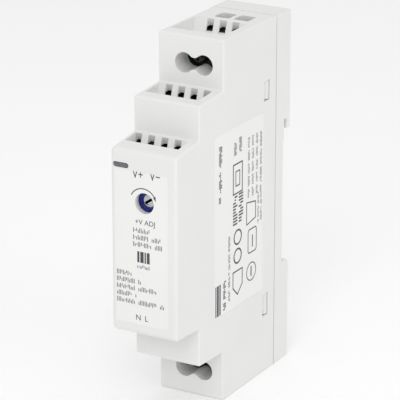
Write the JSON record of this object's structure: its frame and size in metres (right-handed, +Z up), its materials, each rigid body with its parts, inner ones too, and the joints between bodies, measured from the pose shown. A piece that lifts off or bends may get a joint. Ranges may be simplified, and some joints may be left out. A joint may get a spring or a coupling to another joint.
{
  "type": "din rail power supply",
  "caption": "Slim stepped plastic module that clips to a 35 mm rail, with vents, recessed terminal screws, an adjustment trimmer and a status window.",
  "frame": {"origin": "centre of the rail seat: on its plane, at mid-width and at the rail's centre height", "axes": "+X to the right side seen from the front, +Y from the front towards the rail, +Z up, output terminals at the top"},
  "size_m": [0.0176, 0.0545, 0.09],
  "materials": {
    "housing": "fine matt moulded white",
    "clip": "fine matt moulded off-white",
    "steel": "zinc plated, slightly worn",
    "brass": "bright",
    "window": "smoked translucent",
    "led": "clear green lens",
    "trimmer_blue": "semi-gloss",
    "trimmer_rotor": "satin",
    "board": "solder resist over glass laminate",
    "sheet": "milky film",
    "terminal": "matt",
    "black_plastic": "matt moulded",
    "sleeve": "shrink sleeve",
    "disc": "dipped lacquer",
    "film": "moulded box",
    "ferrite": "sintered ferrite",
    "copper": "enamelled copper wire",
    "tape": "polyester tape"
  },
  "bodies": {
    "root": {"housing_shell": "housing", "rear_base": "housing", "clip_spring": "steel", "light_pipe": "window", "status_led": "led", "trimmer_body": "trimmer_blue", "output_terminal_body": "terminal", "input_terminal_body": "terminal", "main_board": "board", "insulation_sheet": "sheet", "input_fuse": "black_plastic", "inrush_thermistor": "black_plastic", "surge_varistor": "disc", "line_filter_capacitor": "film", "choke_core": "ferrite", "choke_winding_left": "copper", "choke_winding_right": "copper", "bridge_rectifier": "black_plastic", "bulk_capacitor": "sleeve", "transformer_core": "ferrite", "transformer_bobbin": "black_plastic", "transformer_winding": "tape", "switching_controller": "black_plastic", "optocoupler": "black_plastic", "safety_capacitor": "disc", "output_rectifier": "black_plastic", "output_capacitor_1": "sleeve", "output_capacitor_2": "sleeve", "output_inductor": "ferrite", "contact_v_plus": "brass", "contact_v_minus": "brass", "contact_line": "brass", "contact_neutral": "brass"},
    "rail_clip": {"rail_clip": "clip"},
    "trimmer_rotor": {"trimmer_rotor": "trimmer_rotor"},
    "screw_v_plus": {"screw_v_plus": "steel"},
    "clamp_v_plus": {"clamp_v_plus": "steel"},
    "screw_v_minus": {"screw_v_minus": "steel"},
    "clamp_v_minus": {"clamp_v_minus": "steel"},
    "screw_line": {"screw_line": "steel"},
    "clamp_line": {"clamp_line": "steel"},
    "screw_neutral": {"screw_neutral": "steel"},
    "clamp_neutral": {"clamp_neutral": "steel"}
  },
  "joints": [
    {"name": "rail_clip_slide", "type": "slide", "parent": "root", "child": "rail_clip", "axis": [0, 0, -1], "range_m": [0, 0.003], "stiffness_N_per_m": 600, "deforming": ["clip_spring"]},
    {"name": "trimmer_turn", "type": "hinge", "parent": "root", "child": "trimmer_rotor", "pos_m": [0.0002, -0.0495, 0.0115], "axis": [0, -1, 0], "range_deg": [-135, 135]},
    {"name": "screw_v_plus_turn", "type": "hinge", "parent": "root", "child": "screw_v_plus", "pos_m": [-0.00185, -0.0236, 0.0393], "axis": [0, 1, 0], "range_deg": [0, 2000]},
    {"name": "clamp_v_plus_slide", "type": "slide", "parent": "root", "child": "clamp_v_plus", "axis": [0, -1, 0], "range_m": [0, 0.0025]},
    {"name": "screw_v_minus_turn", "type": "hinge", "parent": "root", "child": "screw_v_minus", "pos_m": [0.00335, -0.0236, 0.0393], "axis": [0, 1, 0], "range_deg": [0, 2000]},
    {"name": "clamp_v_minus_slide", "type": "slide", "parent": "root", "child": "clamp_v_minus", "axis": [0, -1, 0], "range_m": [0, 0.0025]},
    {"name": "screw_line_turn", "type": "hinge", "parent": "root", "child": "screw_line", "pos_m": [0.00335, -0.0236, -0.0373], "axis": [0, 1, 0], "range_deg": [0, 2000]},
    {"name": "clamp_line_slide", "type": "slide", "parent": "root", "child": "clamp_line", "axis": [0, -1, 0], "range_m": [0, 0.0025]},
    {"name": "screw_neutral_turn", "type": "hinge", "parent": "root", "child": "screw_neutral", "pos_m": [-0.00185, -0.0236, -0.0373], "axis": [0, 1, 0], "range_deg": [0, 2000]},
    {"name": "clamp_neutral_slide", "type": "slide", "parent": "root", "child": "clamp_neutral", "axis": [0, -1, 0], "range_m": [0, 0.0025]}
  ],
  "couplings": [
    {"joint": "screw_v_plus_turn", "follows": "clamp_v_plus_slide", "rad_per_m": 13963},
    {"joint": "screw_v_minus_turn", "follows": "clamp_v_minus_slide", "rad_per_m": 13963},
    {"joint": "screw_line_turn", "follows": "clamp_line_slide", "rad_per_m": 13963},
    {"joint": "screw_neutral_turn", "follows": "clamp_neutral_slide", "rad_per_m": 13963}
  ]
}
